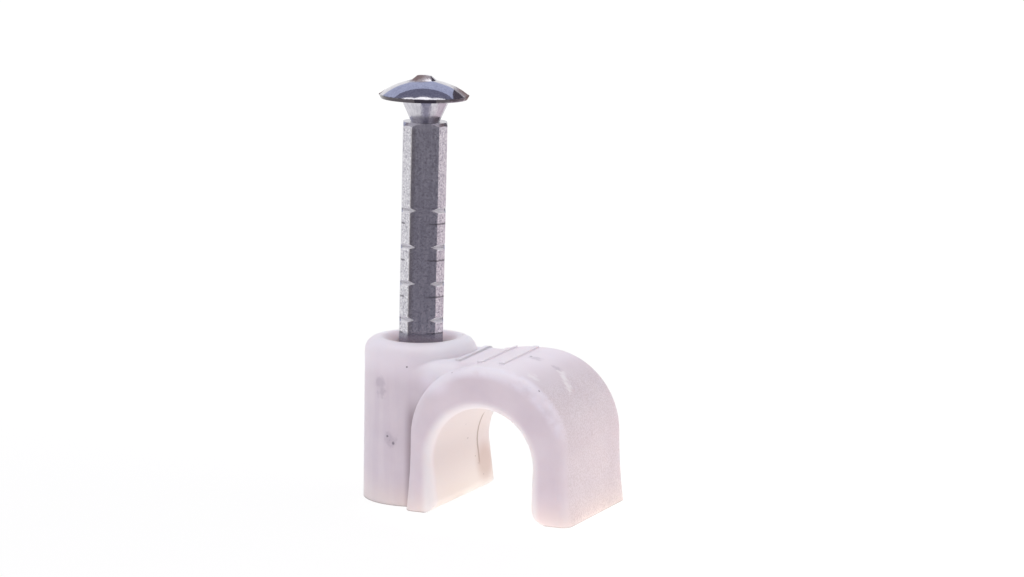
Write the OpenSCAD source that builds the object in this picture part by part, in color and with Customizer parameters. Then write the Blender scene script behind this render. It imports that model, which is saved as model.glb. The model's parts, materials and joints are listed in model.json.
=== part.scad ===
// Nail-in cable clip: a moulded saddle with a nail boss, and its nail as supplied, half way in.
// Millimetres. The base plane is Z = 0, +X runs from the boss to the free leg, +Y is the cable's way.

/* [Cable seat] */
// Radius of the half-round seat, half of the cable's width
cable_r = 3; // [2.6:0.05:3.4]
// How far the underside of a full-size cable stands below the base, so that the clip presses it
squeeze = 0.05; // [0:0.01:0.15]
// How far the mouth's wall beside the boss leans in under the cable, in degrees
inner_lean = 7; // [1:0.5:9]
// How far the mouth's wall on the free leg leans in under the cable, in degrees
outer_lean = 2; // [1:0.5:6]
// Rounding where the seat meets the front and back faces
seat_edge = 0.45; // [0.15:0.01:0.5]
// Lead-in rounding at the foot of the free leg
outer_lead = 1.15; // [0.7:0.05:1.3]
// Lead-in rounding at the foot of the leg beside the boss
inner_lead = 0.7; // [0.4:0.05:0.8]

/* [Saddle] */
// Length of the saddle along the cable
depth = 7.9; // [7.2:0.1:9]
// Thickness of the crown over the seat
crown = 2.22; // [1.9:0.02:2.5]
// Thickness of the free leg
outer_leg = 1.95; // [1.6:0.05:2.3]
// Thickness of the leg beside the boss, where it stands clear of it
inner_leg = 1.3; // [1:0.05:1.5]
// How much larger the shoulder beside the boss is than the seat's radius
inner_shoulder = 1.04; // [0.7:0.01:1.2]
// How much larger the free shoulder is than the seat's radius
outer_shoulder = 1.33; // [1.1:0.01:1.5]
// How far each leg's foot stands out from its shoulder
splay = 0.26; // [0.06:0.02:0.36]
// Rounding of the outer front and back edges
edge_r = 0.55; // [0.4:0.05:0.7]

/* [Boss] */
// Wall between the nail's bore and the boss's outside
boss_wall = 1.64; // [1.4:0.02:1.9]
// How much wider the boss is at its foot than at its rim, on the radius
boss_draft = 0.1; // [0.04:0.02:0.2]
// Wall between the nail's bore and the cable seat
seat_wall = 1.03; // [0.8:0.01:1.2]
// Height of the boss's rim above the crown
rim_rise = 0.71; // [0.6:0.01:1]
// Rounding of the boss's rim
rim_round = 0.7; // [0.5:0.05:0.8]
// Width of the dished ring around the bore's mouth
dish_width = 0.62; // [0.4:0.02:0.7]
// Depth of the dished ring
dish_depth = 0.4; // [0.2:0.02:0.5]
// Width of the flat floor of the dish, beside the bore
dish_floor = 0.06; // [0.04:0.01:0.12]
// How far the web's top lies below the crown
web_drop = 0.04; // [0.02:0.02:0.3]
// How far the web's sides lie inside the boss's radius
web_inset = 0.06; // [0.04:0.01:0.12]
// Rounding of the web's upper edges
web_round = 0.9; // [0.4:0.05:1.1]

/* [Raised bars] */
// Height of the plain raised bars on the crown
bar_rise = 0.1; // [0.06:0.01:0.16]
// Width of a raised bar
bar_width = 0.28; // [0.18:0.02:0.4]
// Length of a raised bar
bar_length = 5.4; // [4:0.1:5.6]
// Slant of the bars against the cable, in degrees
bar_slant = 4; // [0:1:10]
// Spacing of the bars across the crown
bar_pitch = 1.3; // [1:0.05:1.5]
// Distance of the middle bar from the seat's axis, toward the boss
bar_shift = 1.02; // [0.4:0.02:1.2]
// How far the bars lie behind the middle of the saddle
bar_back = 0.5; // [0:0.1:0.6]

/* [Nail] */
// Width of the square shank across its flats
shank = 2.38; // [2.2:0.02:2.6]
// Width cut off each side of a corner
corner = 0.45; // [0.35:0.01:0.55]
// Clearance between the shank's corners and the bore, on the radius
bore_clear = 0.03; // [0.02:0.01:0.06]
// Turn of the shank's flats about the nail's axis, in degrees
nail_turn = 28; // [0:1:45]
// Lean of the nail, and of the bore that grips it, toward the saddle, in degrees
lean = 1.3; // [0:0.1:2]
// Height of the head's underside above the boss's rim, as supplied
stand_off = 13.12; // [11:0.2:15]
// Length of the nail under its head
nail_length = 21.4; // [20:0.2:21.8]
// Length of the point
point_length = 3; // [2.4:0.1:3.6]
// Radius of the blunt tip of the point
tip_r = 0.08; // [0.05:0.01:0.2]
// Radius of the head
head_r = 2.46; // [2.3:0.02:2.6]
// Thickness of the head's rim
head_rim = 0.2; // [0.1:0.02:0.3]
// How far the rim draws in toward the head's underside
rim_taper = 0.11; // [0.04:0.01:0.2]
// Height of the head's dome
dome = 0.86; // [0.6:0.02:1]
// How far the head sits off the shank's axis, away from the saddle
head_shift = 0.1; // [0:0.01:0.3]
// Radius of the small button on the dome, at its foot
button_r = 0.62; // [0.5:0.02:0.7]
// Radius of the button's flat top
button_top_r = 0.4; // [0.3:0.02:0.48]
// Height of the button above the dome
button_rise = 0.18; // [0.16:0.02:0.3]
// Radius of the neck under the head
neck_top_r = 1.35; // [1.2:0.01:1.38]
// Radius of the neck where the shank begins
neck_r = 0.78; // [0.64:0.02:0.9]
// Length of the conical neck
neck_length = 1.24; // [1:0.02:1.5]
// Chamfer on the corners at the shank's top
shoulder = 0.2; // [0.14:0.02:0.22]

/* [Barbs] */
// Number of barbs down each corner
barbs = 7; // [4:1:8]
// Distance of the first barb below the head
first_barb = 6; // [5:0.1:7]
// Spacing of the barbs
barb_pitch = 2.01; // [1.7:0.05:2.1]
// Depth of a barb's notch, measured in from the corner's flat
barb_depth = 0.26; // [0.15:0.02:0.32]
// Length of the notch's upper face, along the nail
barb_slope = 0.17; // [0.12:0.01:0.4]
// Length of the notch's lower face, along the nail
barb_ledge = 0.11; // [0.06:0.01:0.2]

/* [Hidden] */
$fn = 96;

// Nail and bore, measured from the nail's axis
flat_at = shank / 2;
corner_at = flat_at - corner;
corner_r = sqrt(flat_at * flat_at + corner_at * corner_at);
corner_flat = (flat_at + corner_at) / sqrt(2);
bore_r = corner_r + bore_clear;
boss_r = bore_r + boss_wall;

// Seat, measured from the nail's axis, and shoulders, measured from the seat's axis
seat_x = bore_r + seat_wall + cable_r;
seat_z = cable_r - squeeze;
top_z = seat_z + cable_r + crown;
half = depth / 2;
inner_r = cable_r + inner_shoulder;
outer_r = cable_r + outer_shoulder;
inner_x = inner_r - cable_r - inner_leg;
outer_x = cable_r + outer_leg - outer_r;
inner_z = top_z - inner_r;
outer_z = top_z - outer_r;
core_r = 0.4 * cable_r;
free_end = seat_x + outer_x + outer_r + splay;

// Boss, web and head
boss_h = top_z + rim_rise;
boss_wall_top = boss_h - rim_round;
boss_foot_r = boss_r + boss_draft;
web_top = top_z - web_drop;
web_half = boss_r - web_inset;
head_z = boss_h + stand_off;
tip_z = head_z - nail_length;
shank_z = head_z - neck_length;

// The origin is the middle of the clip's outline on the base
shift_x = -(free_end - boss_foot_r) / 2;
// A cutter's round stops a hair short of tangent, so each edge it leaves is a clean one
hair = 0.012;
over = 1;
wall_x = cable_r - hair;
dome_foot = head_r - 2 * hair;
dome_r = (dome_foot * dome_foot + dome * dome) / (2 * dome);

// One cross-section of the saddle: radius along X, depth along Y, outer corners rounded
module saddle_section(r) {
    translate([core_r, -half]) square([r - edge_r - core_r, depth]);
    translate([core_r, -half + edge_r]) square([r - core_r, depth - 2 * edge_r]);
    for (side = [-1, 1]) translate([r - edge_r, side * (half - edge_r)]) circle(r = edge_r);
}

// Half of the saddle: a quarter-round shoulder, then a leg that splays outward in a gentle curve
module half_saddle(r, drop) {
    curve = (drop * drop + splay * splay) / (2 * splay);
    rotate_extrude(angle = 90) saddle_section(r);
    translate([curve + r, 0, 0]) rotate([0, 0, 180]) rotate_extrude(angle = 2 * atan(drop / curve))
        translate([curve + r, 0]) mirror([1, 0]) saddle_section(r);
}

// Both halves, and the flat stretch of crown between them
module saddle() {
    translate([seat_x, 0, 0]) rotate([90, 0, 0]) {
        translate([outer_x, outer_z, 0]) half_saddle(outer_r, outer_z);
        translate([inner_x, inner_z, 0]) mirror([1, 0, 0]) half_saddle(inner_r, inner_z);
        translate([inner_x, inner_z, 0]) rotate([0, 0, 90]) rotate([90, 0, 0])
            linear_extrude(outer_x - inner_x) saddle_section(inner_r);
    }
}

// The boss: a post with a slight draft and a rounded rim
module boss() {
    buried_r = boss_foot_r + boss_draft * over / boss_wall_top;
    rotate_extrude() {
        polygon([[0, -over], [buried_r, -over], [boss_r, boss_wall_top], [0, boss_wall_top]]);
        translate([0, -over]) square([boss_r - rim_round, boss_h + over]);
        translate([boss_r - rim_round, boss_wall_top]) circle(r = rim_round);
    }
}

// The web: fills the corner between the boss and the saddle, with rounded upper edges.
// With rise, its outside stands out by that much, for the bars to reach
module web(rise = 0) {
    side_flat = web_half - web_round;
    top_flat = web_top - web_round;
    edge = web_round + rise;
    rotate([90, 0, 90]) linear_extrude(seat_x) {
        translate([-side_flat - edge, -over]) square([2 * (side_flat + edge), top_flat + over]);
        translate([-side_flat, -over]) square([2 * side_flat, top_flat + edge + over]);
        for (side = [-1, 1]) translate([side * side_flat, top_flat]) circle(r = edge);
    }
}

// The outside of the crown, raised by a little, for the bars to reach
module raised_crown() {
    translate([seat_x, 0, 0]) rotate([90, 0, 0]) linear_extrude(depth, center = true) {
        intersection() {
            translate([inner_x, inner_z]) circle(r = inner_r + bar_rise);
            translate([inner_x - inner_r, top_z - crown / 2]) square([inner_r, crown]);
        }
        translate([inner_x, top_z - crown / 2]) square([outer_x - inner_x, crown / 2 + bar_rise]);
        intersection() {
            translate([outer_x, outer_z]) circle(r = outer_r + bar_rise);
            translate([outer_x, top_z - crown / 2]) square([outer_r, crown]);
        }
    }
}

// Plain raised bars, nearly along the cable, on the crown and the web
module bars() {
    intersection() {
        union() {
            raised_crown();
            web(bar_rise);
        }
        for (i = [-1, 0, 1])
            translate([seat_x - bar_shift + i * bar_pitch, bar_back, top_z])
                rotate([0, 0, bar_slant])
                    cube([bar_width, bar_length, crown], center = true);
    }
}

// A flare that rounds an edge: the square corner less a quarter round
module flare(r) {
    difference() {
        translate([-r, 0]) square([2 * r, r + over]);
        translate([r, 0]) circle(r = r);
    }
}

// The seat: a cable's length with both ends flared
module seat_cut() {
    translate([seat_x, 0, seat_z]) rotate([90, 0, 0]) rotate_extrude() {
        translate([0, -half - over]) square([cable_r, depth + 2 * over]);
        for (side = [0, 1]) mirror([0, side]) translate([cable_r, half - seat_edge + hair]) flare(seat_edge);
    }
}

// One side of the mouth, from the seat's axis: a wall that leaves the seat's round and leans in under the
// cable, with rounded front and back edges and a lead-in at its foot
module mouth_side(wall_lean, lead) {
    reach = seat_z + 2 * over;
    foot_x = wall_x / cos(wall_lean) - (seat_z - lead) * tan(wall_lean) - hair;
    rotate([0, wall_lean, 0]) translate([0, 0, -reach]) linear_extrude(reach) {
        translate([0, -half - over]) square([wall_x, depth + 2 * over]);
        for (end = [0, 1]) mirror([0, end]) translate([wall_x, half - seat_edge + hair]) flare(seat_edge);
    }
    rotate([90, 0, 0]) linear_extrude(depth + 2 * over, center = true)
        translate([foot_x, lead - hair - seat_z]) mirror([0, 1]) flare(lead);
}

// The mouth, through which the cable goes in
module mouth_cut() {
    translate([seat_x, 0, seat_z]) {
        mouth_side(outer_lean, outer_lead);
        mirror([1, 0, 0]) mouth_side(inner_lean, inner_lead);
    }
}

// Leans what it holds about the middle of the boss's rim
module leaning() {
    translate([0, 0, boss_h]) rotate([0, lean, 0]) translate([0, 0, -boss_h]) children();
}

// The bore for the nail, with its dished mouth
module bore_cut() {
    leaning() translate([0, 0, -over]) cylinder(r = bore_r, h = boss_h + 2 * over);
    translate([0, 0, boss_h - dish_depth])
        cylinder(r1 = bore_r + dish_floor, r2 = bore_r + 2 * dish_width, h = 2 * dish_depth);
}

module clip_body() {
    color([0.86, 0.84, 0.86]) translate([shift_x, 0, 0]) difference() {
        union() {
            saddle();
            boss();
            web();
            bars();
        }
        seat_cut();
        mouth_cut();
        bore_cut();
        translate([-depth, -depth, -3 * top_z]) cube([4 * depth, 2 * depth, 3 * top_z]);
    }
}

// The shank's cross-section: a square with its corners cut off
module shank_section() {
    polygon([
        [flat_at, corner_at], [corner_at, flat_at], [-corner_at, flat_at], [-flat_at, corner_at],
        [-flat_at, -corner_at], [-corner_at, -flat_at], [corner_at, -flat_at], [flat_at, -corner_at]
    ]);
}

// The round outline of the shank: corners chamfered at the top, and turned down to the point below
module shank_outline() {
    outline_r = corner_r + hair;
    rotate_extrude() polygon([
        [0, tip_z], [tip_r, tip_z], [outline_r, tip_z + point_length],
        [outline_r, shank_z - shoulder], [outline_r - shoulder, shank_z], [0, shank_z]
    ]);
}

// One barb's notch: slopes in going down, and back out over a shorter ledge that holds the nail in
module barb_cut() {
    stretch = 1 + over / barb_depth;
    rotate([90, 0, 0]) linear_extrude(2 * shank, center = true)
        polygon([
            [corner_flat - barb_depth, 0], [corner_flat + over, -barb_ledge * stretch],
            [corner_flat + over, barb_slope * stretch]
        ]);
}

// The head: a thin rim, a low dome and a button with sloping sides, on a conical neck
module head() {
    translate([-head_shift, 0, head_z]) {
        cylinder(r1 = head_r - rim_taper, r2 = head_r, h = head_rim);
        translate([0, 0, head_rim]) intersection() {
            translate([0, 0, dome - dome_r]) sphere(r = dome_r);
            cylinder(r = 2 * head_r, h = 2 * dome);
        }
        translate([0, 0, head_rim + dome - button_rise])
            cylinder(r1 = 2 * button_r - button_top_r, r2 = button_top_r, h = 2 * button_rise);
    }
    translate([0, 0, shank_z]) cylinder(r1 = neck_r, r2 = neck_top_r, h = neck_length);
}

// The shank: square with its corners cut off, pointed, and notched down each corner
module barbed_shank() {
    difference() {
        intersection() {
            translate([0, 0, tip_z]) linear_extrude(shank_z - tip_z) shank_section();
            shank_outline();
        }
        for (turn = [45, 135, 225, 315], i = [0 : barbs - 1])
            rotate([0, 0, turn]) translate([0, 0, head_z - first_barb - i * barb_pitch]) barb_cut();
    }
}

module nail() {
    color([0.5, 0.5, 0.54]) translate([shift_x, 0, 0]) leaning() {
        head();
        rotate([0, 0, nail_turn]) barbed_shank();
    }
}

clip_body();
nail();
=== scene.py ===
# %% [markdown]
# # A nail-in cable clip
# This lesson dresses a finished model for its picture. The model is a small white clip that holds a
# round cable to a wall: a plastic saddle with a round boss at one side, and a steel nail that stands
# half way in the boss. We could model both again here, but then the picture and the part might drift
# apart. So the solids come from the frame, in metres, and are never moved, and we add a camera, light
# and finishes.

# %% Load the frame
import json
import math

import bpy
import numpy as np
from mathutils import Matrix, Vector


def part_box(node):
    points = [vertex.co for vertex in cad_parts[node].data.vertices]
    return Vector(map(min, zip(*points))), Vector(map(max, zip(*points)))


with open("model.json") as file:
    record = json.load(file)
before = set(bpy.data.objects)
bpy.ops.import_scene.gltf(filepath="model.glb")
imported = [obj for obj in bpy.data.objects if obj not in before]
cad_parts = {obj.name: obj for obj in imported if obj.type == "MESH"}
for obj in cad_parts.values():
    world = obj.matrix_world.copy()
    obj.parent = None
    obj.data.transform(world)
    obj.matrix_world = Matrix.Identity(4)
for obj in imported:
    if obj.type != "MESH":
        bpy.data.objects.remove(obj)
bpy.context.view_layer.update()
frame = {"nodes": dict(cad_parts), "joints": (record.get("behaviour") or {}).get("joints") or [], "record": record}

MM = 0.001

# %% [markdown]
# ## Small helpers
# A colour is easiest to read as the hex value that a picture editor shows, but shaders work in linear
# light, so one function turns the first into the second. A shader is a tree of nodes. It could be drawn
# by hand in the shader editor, but code can be run again. One function adds any node: it makes the
# node's settings, then fills each input with a plain value, or with a link from another node's first
# live output.

# %% Colour and node helpers


def linear(hex_colour):
    """Turns an sRGB hex colour into linear light: a straight line at the dark end, then a power of 2.4."""
    channels = np.array([int(hex_colour[i:i + 2], 16) for i in (1, 3, 5)]) / 255
    bright = ((channels + 0.055) / 1.055) ** 2.4
    return (*np.where(channels <= 0.04045, channels / 12.92, bright).tolist(), 1.0)


def add(tree, kind, inputs=None, **settings):
    """Adds a shader node, makes its settings, and fills its inputs with values or with links."""
    node = tree.nodes.new("ShaderNode" + kind)
    for name, value in settings.items():
        setattr(node, name, value)
    for name, value in (inputs or {}).items():
        if isinstance(value, bpy.types.Node):
            value = next(socket for socket in value.outputs if socket.enabled)
        if isinstance(value, bpy.types.NodeSocket):
            tree.links.new(value, node.inputs[name])
        else:
            node.inputs[name].default_value = value
    return node


def new_material(name):
    """Makes an empty node material and returns it with its tree."""
    material = bpy.data.materials.new(name)
    material.use_nodes = True
    material.node_tree.nodes.clear()
    return material, material.node_tree


print("mid grey in linear light:", round(linear("#808080")[0], 3))

# %% [markdown]
# ## The camera
# The photograph was taken from a little above and from the right of the clip's front, with a long lens.
# We could turn a camera until the picture looks right, but with a long lens many places look nearly the
# same. So its place was worked out from the edges of the real clip, and we write the place, the way it
# looks and the lens as numbers.

# %% Camera
PICTURE_WIDTH = 1024
SENSOR_MM = 36.0
FOCAL_PIXELS = 3262.95
CAMERA_PLACE = Vector((74.943, -157.911, 40.797)) * MM
AZIMUTH, ELEVATION, ROLL = (math.radians(angle) for angle in (24.865, 9.415, 0.27))
CLIP_START, CLIP_END = 1 * MM, 20

# The level ways to the right of the picture and away from the camera
right = Vector((math.cos(AZIMUTH), math.sin(AZIMUTH), 0))
level = Vector((-math.sin(AZIMUTH), math.cos(AZIMUTH), 0))
above = Vector((0, 0, 1))
ahead = level * math.cos(ELEVATION) - above * math.sin(ELEVATION)
up = right.cross(ahead)
turned_right = right * math.cos(ROLL) + up * math.sin(ROLL)
turned_up = up * math.cos(ROLL) - right * math.sin(ROLL)

camera = bpy.data.objects.new("camera", bpy.data.cameras.new("camera"))
bpy.context.scene.collection.objects.link(camera)
camera.data.sensor_width = SENSOR_MM
camera.data.lens = FOCAL_PIXELS * SENSOR_MM / PICTURE_WIDTH
camera.data.clip_start = CLIP_START
camera.data.clip_end = CLIP_END
facing = Matrix((turned_right, turned_up, -ahead)).transposed().to_4x4()
camera.matrix_world = Matrix.Translation(CAMERA_PLACE) @ facing
bpy.context.scene.camera = camera
print("lens:", round(camera.data.lens, 1), "mm")

# %% [markdown]
# ## Light by sides
# The studio is soft and uneven: bright above, dim in front, and much of the light comes up from the
# white sheet under the clip, most of all from its right. Several area lamps could give that, but soft
# light from everywhere is simpler to tune as a few sides, each with a colour and a level. A direction
# between two sides gets a share of both: the squared cosine of the angle to each. For sides at right
# angles these squares add up to one, so equal sides give an even light.

# %% Light by sides
WAYS = {"front": -level, "back": level, "left": -right, "right": right, "above": above}


def light_from_sides(tree, direction, sides):
    """Adds up the sides: each colour times its level times the squared cosine to the direction."""
    total = (0, 0, 0)
    for side, colour, strength in sides:
        cosine = add(tree, "VectorMath", {0: direction, 1: WAYS[side]}, operation="DOT_PRODUCT")
        positive = add(tree, "Math", {0: cosine, 1: 0}, operation="MAXIMUM")
        weight = add(tree, "Math", {0: positive, 1: 2}, operation="POWER")
        tone = [strength * channel for channel in linear(colour)[:3]]
        scaled = add(tree, "VectorMath", {0: tone, "Scale": weight}, operation="SCALE")
        total = add(tree, "VectorMath", {0: total, 1: scaled}, operation="ADD")
    return total


def seen_directly(tree):
    """Gives 1 for rays from the camera, and for rays that a mirror or a clear body passes on, else 0."""
    path = add(tree, "LightPath")
    total = path.outputs["Is Camera Ray"]
    for kind in ("Is Glossy Ray", "Is Transmission Ray"):
        total = add(tree, "Math", {0: total, 1: path.outputs[kind]}, operation="MAXIMUM")
    return total


print("sides:", list(WAYS))

# %% [markdown]
# ## Floor
# The clip stands on a white sheet that is lit from below, like a light table: the feet and the inside of
# the seat are bright in the photograph. A lamp under the floor could do that, but a glow of the sheet's
# own is simpler. The sheet is matt, so it keeps the shadow, and it glows most in an oval under the
# clip's front. For the camera, and for rays that metal reflects, it is mixed with plain white, because
# the photograph's background is white. From below it is clear, so that the underside can be looked at
# too.

# %% Floor material
FLOOR_WHITE = 0.9
FLOOR_COLOUR = "#F4F2F3"
FLOOR_SIDES = (
    ("front", "#FFEFF4", 0.21),
    ("back", "#FFFCF8", 0.45),
    ("left", "#F9F9FF", 0.12),
    ("right", "#FFF3E2", 0.8),
)
NEAR_COLOUR, NEAR_GLOW = "#FFF2E6", 0.44
NEAR_MIDDLE = Vector((2.2, -2.6, 0)) * MM
NEAR_SHAPE = (0.6, 1.0, 0.0)
NEAR_FULL, NEAR_GONE = 2.0 * MM, 6.5 * MM


def near_glow(tree, place):
    """The oval glow: the distance from its middle, squeezed along X, fades the colour out."""
    offset = add(tree, "VectorMath", {0: place, 1: NEAR_MIDDLE}, operation="SUBTRACT")
    squeezed = add(tree, "VectorMath", {0: offset, 1: NEAR_SHAPE}, operation="MULTIPLY")
    away = add(tree, "VectorMath", {0: squeezed}, operation="LENGTH")
    near = add(tree, "MapRange", {
        "Value": away, "From Min": NEAR_GONE, "From Max": NEAR_FULL, "To Max": NEAR_GLOW,
    }, interpolation_type="SMOOTHSTEP")
    return add(tree, "VectorMath", {0: linear(NEAR_COLOUR)[:3], "Scale": near}, operation="SCALE")


def light_table():
    """A matt white sheet that glows: nearly white with a faint shadow from above, and clear from below."""
    material, tree = new_material("lit_white_sheet")
    place = add(tree, "TexCoord").outputs["Object"]
    way = add(tree, "VectorMath", {0: place}, operation="NORMALIZE")
    light = light_from_sides(tree, way, FLOOR_SIDES)
    light = add(tree, "VectorMath", {0: light, 1: near_glow(tree, place)}, operation="ADD")
    matt = add(tree, "BsdfDiffuse", {"Color": linear(FLOOR_COLOUR)})
    glow = add(tree, "Emission", {"Color": light, "Strength": 1})
    both = add(tree, "AddShader", {0: matt, 1: glow})
    white = add(tree, "Emission", {"Color": linear("#FFFFFF"), "Strength": 1})
    share = add(tree, "Math", {0: seen_directly(tree), 1: FLOOR_WHITE}, operation="MULTIPLY")
    sheet = add(tree, "MixShader", {0: share, 1: both, 2: white})
    from_below = add(tree, "NewGeometry").outputs["Backfacing"]
    one_way = add(tree, "MixShader", {0: from_below, 1: sheet, 2: add(tree, "BsdfTransparent")})
    add(tree, "OutputMaterial", {"Surface": one_way})
    return material


sheet_material = light_table()
print(sheet_material.name + ":", len(sheet_material.node_tree.nodes), "shader nodes")

# %% [markdown]
# The sheet itself could be a plane from the add menu, scaled up. We give its corners instead, because
# the same helper makes the cards for the metal later. It lies a hair below the feet, so that the two
# faces don't fight for the same place.

# %% Floor sheet
FLOOR_HALF = 2.0
FLOOR_GAP = 0.02 * MM


def four_corners(middle, across, along):
    """The corners of a rectangle: its middle, plus and minus two half sides."""
    near, far = middle - along, middle + along
    return [near - across, near + across, far + across, far - across]


def card(name, corners, material):
    """One flat sheet through its corners, which isn't part of the clip."""
    mesh = bpy.data.meshes.new(name)
    mesh.from_pydata([tuple(corner) for corner in corners], [], [tuple(range(len(corners)))])
    mesh.materials.append(material)
    sheet = bpy.data.objects.new(name, mesh)
    bpy.context.scene.collection.objects.link(sheet)
    return sheet


half_x, half_y = Vector((FLOOR_HALF, 0, 0)), Vector((0, FLOOR_HALF, 0))
card("floor", four_corners(above * -FLOOR_GAP, half_x, half_y), sheet_material)
print("floor side:", 2 * FLOOR_HALF, "m")

# %% [markdown]
# ## World
# The room around the clip is white where it is seen, and where it only lights the plastic, it follows
# the sides. A white backdrop and lamps could do that, but one world can do both, because a ray knows
# whether it comes from the camera or from a mirror.

# %% World
WORLD_SIDES = (
    ("front", "#FFF6F6", 0.08),
    ("back", "#FFFEFD", 0.45),
    ("left", "#FAF6FF", 0.3),
    ("right", "#FFF0F0", 0.1),
    ("above", "#FBF9FF", 1.66),
)


def white_world():
    """A white room: white where it is seen, and where it only lights, the light of its sides."""
    world = bpy.data.worlds.new("white_studio")
    world.use_nodes = True
    tree = world.node_tree
    tree.nodes.clear()
    way = add(tree, "TexCoord").outputs["Generated"]
    lit = add(tree, "Background", {"Color": light_from_sides(tree, way, WORLD_SIDES), "Strength": 1})
    seen = add(tree, "Background", {"Color": linear("#FFFFFF"), "Strength": 1})
    mixed = add(tree, "MixShader", {0: seen_directly(tree), 1: lit, 2: seen})
    add(tree, "OutputWorld", {"Surface": mixed})
    return world


bpy.context.scene.world = white_world()
bpy.context.scene.view_settings.view_transform = "Standard"
print("world sides:", [(side, strength) for side, colour, strength in WORLD_SIDES])

# %% [markdown]
# ## Cards for the metal
# Metal has little colour of its own and shows what is around it. The nail's front is dark in the
# photograph because the room before it is dark, and its domed head shows bands because there is
# something dark overhead. We could paint those bands on the nail, but they would stay put when it turns.
# Photographers use cards, and so do we: ours are met by reflections only, so they take no light from the
# plastic.

# %% Cards
NAIL_MIRROR = math.radians(299.5)
STRIP_MIRROR = math.radians(29.5)
CARD_LIFT = 0.3 * MM


def grey_card(name, colour, corners, strength=1.0):
    """A card of one even tone that only reflections meet."""
    material, tree = new_material(name)
    tone = add(tree, "Emission", {"Color": linear(colour), "Strength": strength})
    add(tree, "OutputMaterial", {"Surface": tone})
    sheet = card(name, corners, material)
    sheet.visible_camera = False
    sheet.visible_diffuse = False
    sheet.visible_transmission = False
    sheet.visible_shadow = False


def floor_card(name, colour, angle, near, far, half_width):
    """A card on the floor that runs away from the nail's foot at an angle, between two distances."""
    away = Vector((math.cos(angle), math.sin(angle), 0))
    middle = nail_foot + away * (near + far) / 2 + above * CARD_LIFT
    grey_card(name, colour, four_corners(middle, away.cross(above) * half_width, away * (far - near) / 2))


nail_low, nail_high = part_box("nail")
nail_foot = Vector(((nail_low.x + nail_high.x) / 2, (nail_low.y + nail_high.y) / 2, 0))
floor_card("front_floor_card", "#86838F", NAIL_MIRROR, near=0.027, far=0.25, half_width=0.075)
floor_card("neck_floor_card", "#A3A1B2", NAIL_MIRROR, near=0.006, far=0.026, half_width=0.009)
floor_card("strip_floor_card", "#E6D8E0", STRIP_MIRROR, near=0.02, far=0.16, half_width=0.05)
print("nail foot in mm:", [round(part / MM, 2) for part in nail_foot])

# %% [markdown]
# The other cards are a dim one that stands before the nail, for the part of the room that its front
# mirrors, and four overhead, for the bands in the domed head. A dome mirrors nearly the whole room, so
# one grey card would give one flat tone. The bands' edges in the photograph gave the outlines: a bright
# card overhead, a grey one behind it along a gabled edge, a dark one at the right, and a pale blue one
# far behind.

# %% Room and ceiling cards
CEILING = 0.32
ROOM_AWAY, ROOM_HALF_WIDTH, ROOM_HALF_HEIGHT = 0.40, 0.24, 0.16
# Outlines overhead, in metres to the right of the nail and behind it; the first two share a gabled edge
GABLE = ((-0.3, 0.18), (-0.14, 0.135), (-0.05, 0.071), (0.05, 0.071), (0.14, 0.135), (0.17, 0.145))
CEILING_CARDS = (
    ("overhead_ceiling_card", "#FFFFFF", GABLE + ((0.17, -0.1), (-0.3, -0.1)), 1.7),
    ("middle_ceiling_card", "#797A90", GABLE + ((0.17, 0.2), (-0.3, 0.2)), 1.0),
    ("right_ceiling_card", "#5A545E", ((0.17, -0.3), (0.7, -0.3), (0.7, 0.62), (0.17, 0.62)), 1.0),
    ("back_ceiling_card", "#BFC6E2", ((-0.5, 0.2), (0.17, 0.2), (0.17, 0.62), (-0.5, 0.62)), 1.0),
)

front = Vector((math.cos(NAIL_MIRROR), math.sin(NAIL_MIRROR), 0))
room_middle = nail_foot + front * ROOM_AWAY + above * ROOM_HALF_HEIGHT
room_corners = four_corners(room_middle, front.cross(above) * ROOM_HALF_WIDTH, above * ROOM_HALF_HEIGHT)
grey_card("front_room_card", "#5A5862", room_corners)
for name, colour, outline, strength in CEILING_CARDS:
    corners = [nail_foot + right * across + level * back + above * CEILING for across, back in outline]
    grey_card(name, colour, corners, strength)

# %% [markdown]
# ## Tools for patterns
# Marks and wear could be painted on a picture and wrapped around the clip, but a picture blurs up close.
# We work them out instead from the parts' own coordinates, in millimetres, so each mark stays where it
# belongs. A zone is 1 where all its measures are in reach and fades to 0. Spots are zones around given
# places. Such values are masks: they say where a colour goes.

# %% Masks
SPOT_CORE = 0.3


def in_millimetres(tree):
    """The object's own coordinates, turned from metres into millimetres."""
    place = add(tree, "TexCoord").outputs["Object"]
    return add(tree, "VectorMath", {0: place, "Scale": 1 / MM}, operation="SCALE")


def zone(tree, *limits):
    """Multiplies smooth steps: each is 1 where its measure is at full, and 0 where it is gone."""
    total = 1.0
    for measure, full, gone in limits:
        ends = {"Value": measure, "From Min": gone, "From Max": full}
        step = add(tree, "MapRange", ends, interpolation_type="SMOOTHSTEP")
        total = add(tree, "Math", {0: step, 1: total}, operation="MULTIPLY")
    return total


def spots(tree, place, marks):
    """The largest of the zones around given places, each full near its middle and gone at its size."""
    total = 0.0
    for x, y, z, size in marks:
        away = add(tree, "VectorMath", {0: place, 1: (x, y, z)}, operation="DISTANCE")
        spot = zone(tree, (away, SPOT_CORE * size, size))
        total = add(tree, "Math", {0: spot, 1: total}, operation="MAXIMUM")
    return total


def ragged(tree, place, size, amount):
    """The coordinates pushed about by a noise, so that marks placed on them get torn outlines."""
    push = add(tree, "TexNoise", {"Vector": place, "Scale": 1 / size, "Detail": 3})
    centred = add(tree, "VectorMath", {0: push.outputs["Color"], 1: [0.5] * 3}, operation="SUBTRACT")
    return add(tree, "VectorMath", {0: centred, 1: [2 * amount] * 3, 2: place}, operation="MULTIPLY_ADD")


print("a spot is full within", SPOT_CORE, "of its size")

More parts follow.
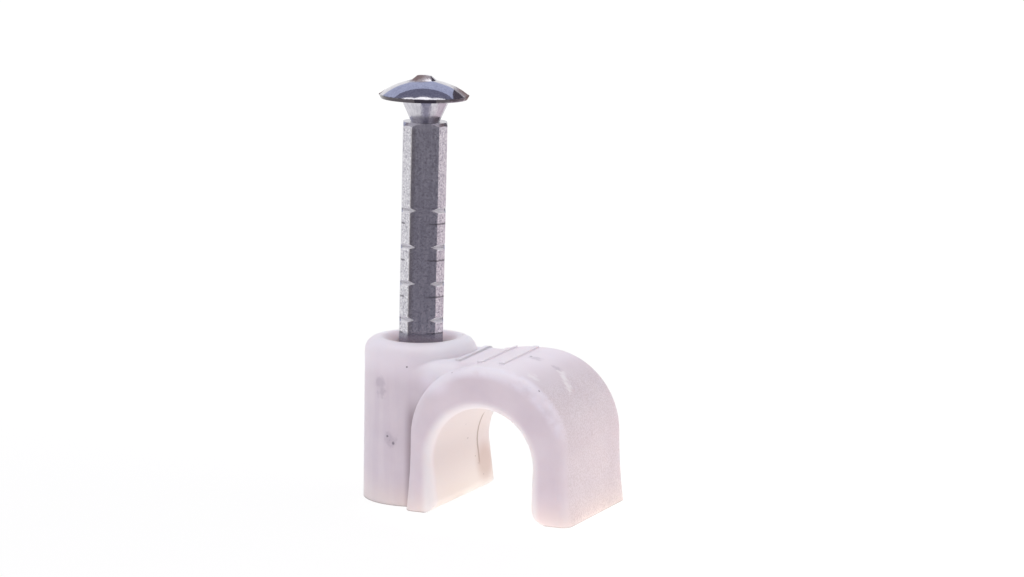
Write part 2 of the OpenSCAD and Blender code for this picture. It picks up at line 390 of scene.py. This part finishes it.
# %% [markdown]
# Paint works as on a real part: one coat over the other. A colour ramp could hold a few tones, but it
# knows only one mask. A row of mix nodes takes as many as we like, each with a colour of its own, and a
# loop builds it from a list of layers.

# %% Paint


def paint(tree, colour, layers):
    """Lays colours over each other: each layer has a mask, a colour and the most that it covers."""
    for mask, hex_colour, most in layers:
        share = add(tree, "Math", {0: mask, 1: most}, operation="MULTIPLY")
        colour = add(tree, "Mix", {"Factor": share, 6: colour, 7: linear(hex_colour)}, data_type="RGBA")
    return colour


def dress(node_name, material):
    """Puts one material on a node of the frame."""
    slots = frame["nodes"][node_name].data.materials
    slots.clear()
    slots.append(material)
    print(node_name + ":", material.name, "with", len(material.node_tree.nodes), "shader nodes")


print("nodes to dress:", sorted(frame["nodes"]))

# %% [markdown]
# ## White moulded plastic
# The clip is injection moulded from polyethylene. Its skin is satin, and some light goes through the
# thin walls. A plain white would look like plaster, so the shader has a soft gloss and some scattering
# below the surface. The mould's spark-eroded face leaves a fine grain on the outside of the free leg,
# and flow leaves faint upright streaks on the boss. Handling has left dark specks, grey smudges and pale
# scuffs, and painted shade darkens the corners. First we name where these are. The seat's size and place
# come from the record's mount, so the marks follow the solid.

# %% Places on the plastic
BOSS_X = -3.75
seat = next(mount for mount in frame["record"]["mounts"] if mount["name"] == "cable_seat")
seat_x, seat_z = seat["pos_m"][0] / MM, seat["pos_m"][2] / MM
seat_r = seat["dims"]["r_mm"]
clip_low, clip_high = (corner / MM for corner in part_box("clip_body"))
front_y, rim_z = clip_low.y, clip_high.z

# X, Y, Z and size of each mark
SPECKS = (
    (-4.25, -3.03, 3.81, 0.12), (-3.87, -3.07, 3.46, 0.13), (-4.08, -3.06, 3.62, 0.07),
    (-3.10, -3.01, 7.72, 0.07), (-0.02, -3.67, 7.77, 0.07), (-1.84, 1.33, 8.88, 0.08),
    (2.59, 0.72, 8.17, 0.12), (-1.29, 0.86, 3.23, 0.06), (-1.04, 0.07, 4.19, 0.05),
    (-1.18, 1.65, 2.07, 0.05), (-1.10, 1.91, 1.64, 0.06), (-1.02, 2.43, 0.91, 0.06),
    (4.55, -3.72, 7.35, 0.07), (5.00, -3.55, 7.18, 0.08),
)
SMUDGES = (
    (-4.74, -2.91, 6.68, 0.5), (-4.60, -2.95, 6.20, 0.45), (-4.05, -3.05, 3.62, 0.5),
    (4.35, 0.45, 7.75, 0.35), (3.0, 0.5, 8.15, 0.5),
)
SCUFFS = (
    (4.62, 0.25, 7.55, 0.42), (4.94, -0.07, 7.30, 0.45), (5.20, -0.45, 7.02, 0.42),
    (5.45, -0.75, 6.72, 0.36), (4.10, -2.60, 7.60, 0.50), (1.20, -3.20, 7.95, 0.45),
)
# A brownish painted shade low on the seat's back wall: X, Y, Z and size
BROWN_SHADE_SPOT = ((-1.1, 2.8, 1.6, 1.5),)
print("seat radius:", seat_r, "mm; specks:", len(SPECKS), "smudges:", len(SMUDGES), "scuffs:", len(SCUFFS))

# %% [markdown]
# Painted shade darkens the corner between the boss and the leg, the dish around the nail and a crease on
# the seat's wall, and a brownish painted shade lies low on the seat's back wall. Ambient occlusion could
# find such corners, but it would darken all of them. The corner, the dish and the crease are each a zone
# of its own.

# %% Painted shade in the corners
# Each pair is where the painted shade is full and where it is gone, in millimetres
CORNER_PLACE, CORNER_REACH, CORNER_HEIGHT = (-2.70, -2.98, 0), (0.06, 0.62), (4.6, 6.4)
DISH_REACH, DISH_HEIGHT = (1.6, 2.25), (rim_z - 0.38, rim_z - 0.58)
CREASE_Y, CREASE_REACH = 2.08, (0.03, 0.13)
CREASE_LOW, CREASE_HIGH = (1.8, 1.4), (4.3, 4.6)
CREASE_IN, CREASE_OUT = (-0.7, -0.4), (-1.5, -1.7)


def painted_corner_shade(tree, where, x, y, z):
    """Layers of painted shade beside the boss, in the dish around the nail, along a crease of the seat's wall, and
    brownish low on its back wall.
    """
    flat = add(tree, "VectorMath", {0: where, 1: (1, 1, 0)}, operation="MULTIPLY")
    from_corner = add(tree, "VectorMath", {0: flat, 1: CORNER_PLACE}, operation="DISTANCE")
    from_nail = add(tree, "VectorMath", {0: flat, 1: (BOSS_X, 0, 0)}, operation="DISTANCE")
    beside = add(tree, "Math", {0: y, 1: CREASE_Y}, operation="SUBTRACT")
    from_crease = add(tree, "Math", {0: beside}, operation="ABSOLUTE")
    corner = zone(tree, (from_corner, *CORNER_REACH), (z, *CORNER_HEIGHT))
    dish = zone(tree, (from_nail, *DISH_REACH), (z, *DISH_HEIGHT))
    crease = zone(tree, (from_crease, *CREASE_REACH), (z, *CREASE_LOW), (z, *CREASE_HIGH),
                  (x, *CREASE_IN), (x, *CREASE_OUT))
    # Painted shade: darker in the corner, the dish and the crease, and brownish low on the back wall
    return [
        (corner, "#9C8890", 0.7), (dish, "#C9A6A2", 0.45), (crease, "#9E8C80", 0.7),
        (spots(tree, where, BROWN_SHADE_SPOT), "#CDB4A8", 0.55),
    ]


print("dirt: corner, dish, crease and one brown spot")

# %% [markdown]
# The seat is smoother than the outside, because a polished core pin forms it. The seat gets painted
# light, paler than the outside and lighter still low on the boss side. Its front edge gets a painted
# highlight, the arch's outer edge a painted highlight broken up by wear, and the feet are painted paler.
# The seat and both edges follow the distance from the seat's axis: over the axis it is measured around
# it, and below it sideways only, because the mouth's walls go nearly straight down. The soles and the
# free leg's inner wall face the glowing sheet, so they get painted shade to keep them from burning out.

# %% Seat and edges
SEAT_INSIDE, SEAT_FRONT = (seat_r + 0.02, seat_r + 0.2), (front_y + 0.75, front_y + 0.25)
SEAT_LOW, SEAT_LEFT, SEAT_RIGHT = (0.8, 3.4), (1.0, 2.5), (4.2, 3.4)
EDGE_INSIDE, EDGE_FRONT = (seat_r + 0.1, seat_r + 0.6), (front_y + 0.25, front_y + 0.75)
OUTER_EDGE, OUTER_FRONT = (seat_r + 2.0, seat_r + 1.6), (front_y + 0.4, front_y + 0.85)
OUTER_HEIGHT, OUTER_WEAR = (5.6, 4.2), (0.60, 0.22)
WEAR_MM = 0.6
FEET_LIGHT, SOLES = (0.0, 1.9), (0.02, 0.06)


def seat_and_edges(tree, where, x, y, z):
    """Layers of painted light on the arch's outer edge, with wear, on the seat, its low wall, its front edge and
    the feet; and painted shade on the soles and the free leg's wall.
    """
    sideways = add(tree, "Math", {0: x, 1: seat_x}, operation="SUBTRACT")
    over_axis = add(tree, "Math", {0: z, 1: seat_z}, operation="SUBTRACT")
    upward = add(tree, "Math", {0: over_axis, 1: 0}, operation="MAXIMUM")
    away = add(tree, "CombineXYZ", {"X": sideways, "Z": upward})
    radius = add(tree, "VectorMath", {0: away}, operation="LENGTH")
    wear = add(tree, "TexNoise", {"Vector": where, "Scale": 1 / WEAR_MM, "Detail": 3})
    outer_wear_and_highlight = zone(tree, (radius, *OUTER_EDGE), (y, *OUTER_FRONT), (z, *OUTER_HEIGHT), (wear, *OUTER_WEAR))
    seat_limits = (radius, *SEAT_INSIDE), (y, *SEAT_FRONT)
    low_wall_light = zone(tree, *seat_limits, (z, *SEAT_LOW), (x, *SEAT_LEFT))
    free_wall = zone(tree, *seat_limits, (x, *SEAT_RIGHT))
    painted_edge_tone = zone(tree, (radius, *EDGE_INSIDE), (y, *EDGE_FRONT))
    # Painted light: a pale outer edge that is partly wear, a pale seat and low wall, pale feet and a pale front
    # edge; painted shade on the soles and free wall
    return [
        (outer_wear_and_highlight, "#FAF5FF", 0.6), (zone(tree, *seat_limits), "#EAE4E2", 0.85), (low_wall_light, "#FBF7F4", 0.7),
        (zone(tree, (z, *FEET_LIGHT)), "#FFF3E6", 0.36), (painted_edge_tone, "#FFFDFC", 0.7),
        (zone(tree, (z, *SOLES)), "#A89D9D", 0.8), (free_wall, "#C4C0C8", 0.3),
    ]


print("seat axis:", round(seat_x, 3), round(seat_z, 3), "mm")

# %% [markdown]
# Now the skin. Its white is never even: soft clouds a millimetre or two wide run through it and the boss
# has its streaks. The boss's rim and the web, with the valley beside the boss, get painted light, paler as
# if lit from above. The layers are painted from the widest to the smallest, so that specks lie on top.

# %% Clouds, streaks and grain
# Mould grain is usually near 0.03 mm, less than a pixel here, so it is drawn three times as coarse to show
GRAIN_MM = 0.09
CLOUD_MM = 1.5
STREAK_MM, STREAK_LENGTH = 0.5, 12
STREAKY, GRAINY = (0.62, 0.45), (0.38, 0.6)
BOSS_SIDE = (-2.8, -2.4)
RIM_HIGH, WEB_HIGH, WEB_SIDE = (rim_z - 0.63, rim_z - 1.38), (8.0, 6.4), (-0.6, 0.6)
VALLEY_LEFT, VALLEY_RIGHT, VALLEY_HIGH = (-1.6, -2.6), (-1.0, 0.2), (7.2, 6.2)
FREE_LEG, BEHIND_EDGE = (5.6, 4.4), (front_y + 0.65, front_y + 0.2)


def moulded_skin(tree, where, grain, x, y, z):
    """Layers for the clouds, the boss's streaks, painted light on the rim, the web and its valley; then the free
    leg's grain.
    """
    cloud = add(tree, "TexNoise", {"Vector": where, "Scale": 1 / CLOUD_MM, "Detail": 4})
    narrow = [1 / STREAK_MM, 1 / STREAK_MM, 1 / (STREAK_MM * STREAK_LENGTH)]
    stretched = add(tree, "Mapping", {"Vector": where, "Scale": narrow})
    streak = add(tree, "TexNoise", {"Vector": stretched, "Scale": 1, "Detail": 2})
    rim, web = zone(tree, (z, *RIM_HIGH)), zone(tree, (z, *WEB_HIGH), (x, *WEB_SIDE))
    painted_top_light = add(tree, "Math", {0: rim, 1: web}, operation="MAXIMUM")
    painted_valley_light = zone(tree, (x, *VALLEY_LEFT), (x, *VALLEY_RIGHT), (z, *VALLEY_HIGH))
    # Painted light: the boss's rim, the web and its valley are paler as if lit from above
    skin = [
        (cloud, "#EEE6EB", 1.0), (zone(tree, (streak, *STREAKY), (x, *BOSS_SIDE)), "#D0C3D2", 0.16),
        (painted_top_light, "#FBF4FB", 0.7), (painted_valley_light, "#FBF5FF", 0.9),
    ]
    rough_leg = zone(tree, (grain, *GRAINY), (x, *FREE_LEG), (y, *BEHIND_EDGE))
    return skin, [(rough_leg, "#C6B7B9", 0.4)]


print("grain", GRAIN_MM, "mm, clouds", CLOUD_MM, "mm, streaks", STREAK_MM, "mm")

# %% [markdown]
# All the layers go into one shader. Colour alone would look printed on, so the grain also tilts the
# surface with a bump. The mould has small fillets where the boss runs into the web. A bevel node rounds
# the shading there, because a real bevel would change the solid.

# %% Polyethylene
PLASTIC_BASE = "#DFD4DC"
PLASTIC_ROUGHNESS, PLASTIC_IOR = 0.42, 1.51
GLOW_SHARE, GLOW_DEPTH, GLOW_RADIUS = 0.45, 1.2 * MM, (1.0, 0.85, 0.78)
SOFT_EDGE, SOFT_SIDE = 0.45 * MM, (-1.6, 0.8)
GRAIN_BUMP, GRAIN_DEPTH = 0.8, 0.02 * MM
# The size of the tears in the marks' outlines and how far they push, in millimetres
TORN, FRAYED = (0.4, 0.4), (0.08, 0.05)


def polyethylene():
    """Moulded polyethylene."""
    # Satin and slightly translucent, so it looks soft, with a milky edge where the light comes through
    material, tree = new_material("moulded_polyethylene")
    where = in_millimetres(tree)
    x, y, z = add(tree, "SeparateXYZ", {0: where}).outputs
    torn, frayed = ragged(tree, where, *TORN), ragged(tree, where, *FRAYED)
    grain = add(tree, "TexNoise", {"Vector": where, "Scale": 1 / GRAIN_MM, "Detail": 2})
    skin, grained = moulded_skin(tree, where, grain, x, y, z)
    marks = [
        (spots(tree, torn, SCUFFS), "#FFFDFE", 0.6), (spots(tree, torn, SMUDGES), "#8F8296", 0.26),
        (spots(tree, frayed, SPECKS), "#55495A", 0.8),
    ]
    # The corners' layers are painted shade
    edges, corner_shade_layers = seat_and_edges(tree, where, x, y, z), painted_corner_shade(tree, where, x, y, z)
    layers = skin + edges + grained + corner_shade_layers + marks
    soft = zone(tree, (x, *SOFT_SIDE))
    reach = add(tree, "Math", {0: soft, 1: SOFT_EDGE}, operation="MULTIPLY")
    soft_edge = add(tree, "Bevel", {"Radius": reach}, samples=8)
    free_leg = zone(tree, (x, *FREE_LEG), (y, *BEHIND_EDGE))
    strength = add(tree, "Math", {0: free_leg, 1: GRAIN_BUMP}, operation="MULTIPLY")
    bump = add(tree, "Bump", {
        "Strength": strength, "Distance": GRAIN_DEPTH, "Height": grain, "Normal": soft_edge})
    plastic = add(tree, "BsdfPrincipled", {
        "Base Color": paint(tree, linear(PLASTIC_BASE), layers), "Normal": bump,
        "Roughness": PLASTIC_ROUGHNESS, "IOR": PLASTIC_IOR, "Subsurface Weight": GLOW_SHARE,
        "Subsurface Radius": GLOW_RADIUS, "Subsurface Scale": GLOW_DEPTH})
    add(tree, "OutputMaterial", {"Surface": plastic})
    return material


dress("clip_body", polyethylene())

# %% [markdown]
# ## Zinc-plated steel
# The nail is hardened steel wire with a bright zinc plate. The drawn flats are mottled and pitted and
# carry faint lines along the wire, each barb gets a painted shadow, a dark line below its notch, and the
# upset head is smoother and shines like a mirror. The nail leans and is turned, so marks placed on X, Y
# and Z would cross it at a slant. We turn the coordinates first: U and V run across the flats, and W
# along the shank from the boss's rim. The lean comes from the joint that the nail slides on.

# %% The nail's own frame
NAIL_TURN = math.radians(28)
BARB_SHADOW_AT, NOTCH_AT, BARB_PITCH = 6.40, 7.12, 2.01
NECK_AT, HEAD_AT, HEAD_RIM_TOP = 11.7, 13.0, 13.30
STAINS = ((-1.30, 0.98, 22.25, 1.3), (-5.60, -1.0, 22.1, 0.5), (-3.72, -0.3, 23.2, 0.85))
drive = next(joint for joint in frame["joints"] if joint["name"] == "nail_drive")
lean = math.atan2(-drive["axis"][0], -drive["axis"][2])


def in_nail_frame(tree, where):
    """The coordinates from the middle of the boss's rim, turned upright and square to the flats."""
    moved = add(tree, "VectorMath", {0: where, 1: (BOSS_X, 0, rim_z)}, operation="SUBTRACT")
    return add(tree, "Mapping", {"Vector": moved, "Rotation": (0, -lean, -NAIL_TURN)})


print("the nail leans", round(math.degrees(lean), 2), "degrees")

# %% [markdown]
# The marks repeat with the barbs. Each could be placed by hand, but a ping-pong of W does it for all: it
# runs up and down between 0 and half a pitch, so it is the distance to the nearest mark. The notches'
# faces are rough and get a painted highlight, each barb has its painted shadow, and the head's rim is
# dark. A band at the foot of the shank gets painted shade where it sinks into the dish, and one edge of
# the front flat a dark painted reflection.

# %% Painted light and shade along the barbs
# Each pair is where a mark is full and where it is gone, in millimetres
SHADOW_REACH, SHADOW_TOP = (0.0, 0.08), (BARB_SHADOW_AT + 0.3, BARB_SHADOW_AT + 0.5)
SHADOW_RIGHT, SHADOW_LEFT, SHADOW_FRONT = (0.75, -0.1), (-1.05, -0.95), (-0.5, 0.3)
NOTCH_REACH, NOTCH_TOP, NOTCH_WIDE = (0.14, 0.19), (NOTCH_AT + 0.3, NOTCH_AT + 0.5), (1.12, 1.15)
BARBED = (-5.9, -6.1)
FOOT_TOP, FOOT_BOTTOM = (0.28, 0.46), (-0.5, -1.6)
FACE_EDGE, CORNER_EDGE = (-0.70, -0.42), (-0.76, -0.80)
RIM_OUT, RIM_HEIGHT = (2.32, 2.2), (HEAD_RIM_TOP, HEAD_RIM_TOP + 0.06)
BELOW_NECK = (NECK_AT - 0.2, NECK_AT)


def barb_light_and_shade(tree, place):
    """The notches' mask, and layers for painted shade on the face's edge and the shank's foot, the dark rim,
    painted shadow below the barbs and a painted highlight in the notches.
    """
    u, v, w = add(tree, "SeparateXYZ", {0: place}).outputs
    # Painted shadow: a dark line below each barb's notch
    past_shadow = add(tree, "Math", {0: w, 1: BARB_SHADOW_AT}, operation="SUBTRACT")
    off_shadow = add(tree, "Math", {0: past_shadow, 1: BARB_PITCH / 2}, operation="PINGPONG")
    shadow_limits = (off_shadow, *SHADOW_REACH), (w, *SHADOW_TOP), (w, *BARBED), (v, *SHADOW_FRONT)
    shadow_right, shadow_left = (zone(tree, *shadow_limits, (u, *side)) for side in (SHADOW_RIGHT, SHADOW_LEFT))
    barb_shadow = add(tree, "Math", {0: shadow_right, 1: shadow_left}, operation="MAXIMUM")
    past_notch = add(tree, "Math", {0: w, 1: NOTCH_AT}, operation="SUBTRACT")
    off_notch = add(tree, "Math", {0: past_notch, 1: BARB_PITCH / 2}, operation="PINGPONG")
    off_u, off_v = (add(tree, "Math", {0: way}, operation="ABSOLUTE") for way in (u, v))
    wide = add(tree, "Math", {0: off_u, 1: off_v}, operation="MAXIMUM")
    notch = zone(tree, (off_notch, *NOTCH_REACH), (wide, *NOTCH_WIDE), (w, *NOTCH_TOP), (w, *BARBED))
    painted_foot_shade = zone(tree, (w, *FOOT_TOP), (w, *FOOT_BOTTOM))
    flat = add(tree, "VectorMath", {0: place, 1: (1, 1, 0)}, operation="MULTIPLY")
    radius = add(tree, "VectorMath", {0: flat}, operation="LENGTH")
    rim = zone(tree, (radius, *RIM_OUT), (w, *RIM_HEIGHT))
    painted_edge_tone = zone(tree, (u, *FACE_EDGE), (u, *CORNER_EDGE), (w, *BELOW_NECK))
    # Painted shade on the face's edge and the foot, the dark rim, painted shadow below the barbs, and a painted
    # highlight in the notches
    return notch, [
        (painted_edge_tone, "#8C8480", 0.45), (painted_foot_shade, "#7C7A86", 0.75), (rim, "#3E363B", 0.9), (barb_shadow, "#4A454E", 0.75),
        (notch, "#FAF9FB", 0.9),
    ]


print("notches every", BARB_PITCH, "mm from", NOTCH_AT, "mm above the rim")

# %% [markdown]
# The plate itself is a cool grey with a mottled tone. Its pits and flecks are too fine to model, so they
# are noise in the colour and a little bump. The flattened corners are brighter, with white flecks where
# the rolls have bruised the plate. On the head there are a few brown stains, and a stain is dull and not
# metallic.

# %% Mottle, pits and flecks
MOTTLE_MM, PATCH_MM = 0.45, 0.24
DRAWN_MM, DRAWN_LENGTH, PATCH_LENGTH = 0.12, 30, 1.6
# Pits and flecks in zinc are often near 0.03 mm, less than a pixel here, so they are drawn coarser to show
PIT_MM, FLECK_MM = 0.12, 0.09
DRAWN, PATCHED, PITTED, FLECKED = (0.62, 0.4), (0.42, 0.60), (0.36, 0.50), (0.66, 0.40)
CHAMFER = (1.92, 1.82)


def zinc_tones(tree, place, pits):
    """Layers for the mottled plate, the drawn lines, the patches and pits, and the corners' flecks."""
    u, v, w = add(tree, "SeparateXYZ", {0: place}).outputs
    drawn_scale = [1 / DRAWN_MM, 1 / DRAWN_MM, 1 / (DRAWN_MM * DRAWN_LENGTH)]
    patch_scale = [1 / PATCH_MM, 1 / PATCH_MM, 1 / (PATCH_MM * PATCH_LENGTH)]
    along_wire = add(tree, "Mapping", {"Vector": place, "Scale": drawn_scale})
    along_patch = add(tree, "Mapping", {"Vector": place, "Scale": patch_scale})
    mottle = add(tree, "TexNoise", {"Vector": place, "Scale": 1 / MOTTLE_MM, "Detail": 4})
    drawn = add(tree, "TexNoise", {"Vector": along_wire, "Scale": 1, "Detail": 2})
    patch = add(tree, "TexNoise", {"Vector": along_patch, "Scale": 1, "Detail": 5})
    fleck = add(tree, "TexNoise", {"Vector": place, "Scale": 1 / FLECK_MM, "Detail": 3})
    off_u, off_v = (add(tree, "Math", {0: way}, operation="ABSOLUTE") for way in (u, v))
    across = add(tree, "Math", {0: off_u, 1: off_v}, operation="ADD")
    return [
        (mottle, "#E0DEE4", 1.0), (zone(tree, (drawn, *DRAWN)), "#A19FAA", 0.3),
        (zone(tree, (patch, *PATCHED), (w, *BELOW_NECK)), "#A5A2AE", 0.25),
        (zone(tree, (pits, *PITTED), (w, *BELOW_NECK)), "#85828E", 0.5),
        (zone(tree, (fleck, *FLECKED), (across, *CHAMFER), (w, *BELOW_NECK)), "#FFFFFF", 0.42),
    ]


print("pits", PIT_MM, "mm, flecks", FLECK_MM, "mm, mottle", MOTTLE_MM, "mm")

# %% [markdown]
# Now the metal's shader. A metal's base colour tints what it mirrors, and its roughness blurs it. The
# whole nail could have one roughness, but the die pressed the head smooth, and the shank was drawn and
# rolled. So the head is a sharp mirror and the shank a soft one, and notches and stains are dull.

# %% Zinc plate
ZINC_BASE = "#BDBBC3"
HEAD_ROUGHNESS, SHANK_ROUGHNESS, DULL_ROUGHNESS = 0.07, 0.27, 0.85
PIT_BUMP, PIT_DEPTH = 0.3, 0.02 * MM
SHANK_TOP = (HEAD_AT - 0.2, HEAD_AT)
MARK_TORN, STAIN_TORN = (0.2, 0.04), (0.3, 0.25)


def zinc_plate():
    """Bright zinc plate on drawn wire."""
    # A cool grey metal: a mirror on the head, and softer on the shank, where it was drawn and rolled
    material, tree = new_material("bright_zinc_plate")
    where = in_millimetres(tree)
    place = in_nail_frame(tree, where)
    along = add(tree, "SeparateXYZ", {0: place}).outputs["Z"]
    pits = add(tree, "TexNoise", {"Vector": place, "Scale": 1 / PIT_MM, "Detail": 3})
    # The barbs' layers are painted light and shade; the notches' mask also makes them rough
    notch, marks = barb_light_and_shade(tree, ragged(tree, place, *MARK_TORN))
    stain = spots(tree, ragged(tree, where, *STAIN_TORN), STAINS)
    layers = zinc_tones(tree, place, pits) + marks + [(stain, "#6A4A44", 0.85)]
    shank = zone(tree, (along, *SHANK_TOP))
    rough = add(tree, "MapRange", {"Value": shank, "To Min": HEAD_ROUGHNESS, "To Max": SHANK_ROUGHNESS})
    dull = add(tree, "Math", {0: notch, 1: stain}, operation="MAXIMUM")
    dulled = add(tree, "Math", {0: dull, 1: DULL_ROUGHNESS}, operation="MULTIPLY")
    strength = add(tree, "Math", {0: shank, 1: PIT_BUMP}, operation="MULTIPLY")
    metal = add(tree, "BsdfPrincipled", {
        "Base Color": paint(tree, linear(ZINC_BASE), layers), "Metallic": zone(tree, (stain, 0, 1)),
        "Roughness": add(tree, "Math", {0: rough, 1: dulled}, operation="MAXIMUM"),
        "Normal": add(tree, "Bump", {"Strength": strength, "Distance": PIT_DEPTH, "Height": pits})})
    add(tree, "OutputMaterial", {"Surface": metal})
    return material


dress("nail", zinc_plate())
